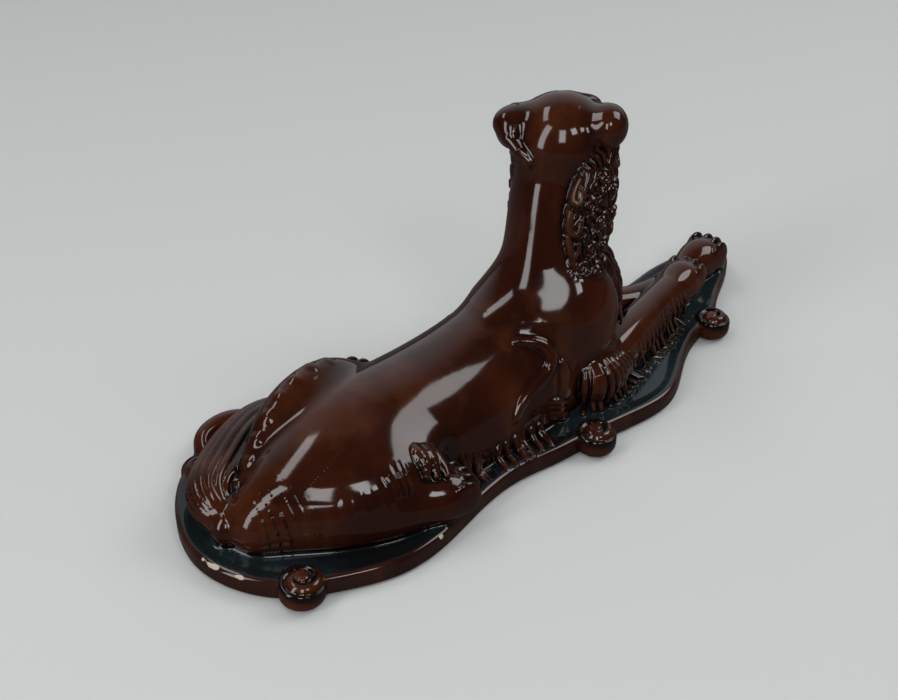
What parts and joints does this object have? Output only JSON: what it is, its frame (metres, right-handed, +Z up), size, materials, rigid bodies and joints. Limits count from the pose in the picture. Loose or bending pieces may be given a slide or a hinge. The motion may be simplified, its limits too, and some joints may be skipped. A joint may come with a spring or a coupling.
{
  "type": "recumbent spaniel mantel figure",
  "caption": "Glazed earthenware spaniel lying on a scroll-edged base, head raised and turned to its left; an ornament that rests on a shelf or mantelpiece.",
  "frame": {"origin": "middle of the figure's bounding box at the underside of the base", "axes": "+X is the way the dog lies, from rump to forepaws; +Y is the dog's left; +Z is up"},
  "size_m": [0.3276, 0.1283, 0.136],
  "materials": {
    "treacle_glaze": "glossy mahogany-brown lead glaze",
    "base_glaze": "glossy blue-black glaze, brown at the rim",
    "rim_glaze": "glossy brown glaze, thin on the raised edges"
  },
  "bodies": {
    "root": {"base_plate": "base_glaze", "body_left_shell": "treacle_glaze", "body_right_shell": "treacle_glaze", "head_face_shell": "treacle_glaze", "head_back_shell": "treacle_glaze", "left_ear": "treacle_glaze", "right_ear": "treacle_glaze", "left_foreleg": "treacle_glaze", "right_foreleg": "treacle_glaze", "left_hind_leg": "treacle_glaze", "right_hind_leg": "treacle_glaze", "tail": "treacle_glaze", "rim_lobe_left_rear": "rim_glaze", "scroll_right_rear": "rim_glaze", "scroll_right_middle": "rim_glaze", "scroll_right_front": "rim_glaze", "scroll_left_rear": "rim_glaze", "scroll_left_middle": "rim_glaze", "scroll_left_front": "rim_glaze"}
  },
  "joints": []
}
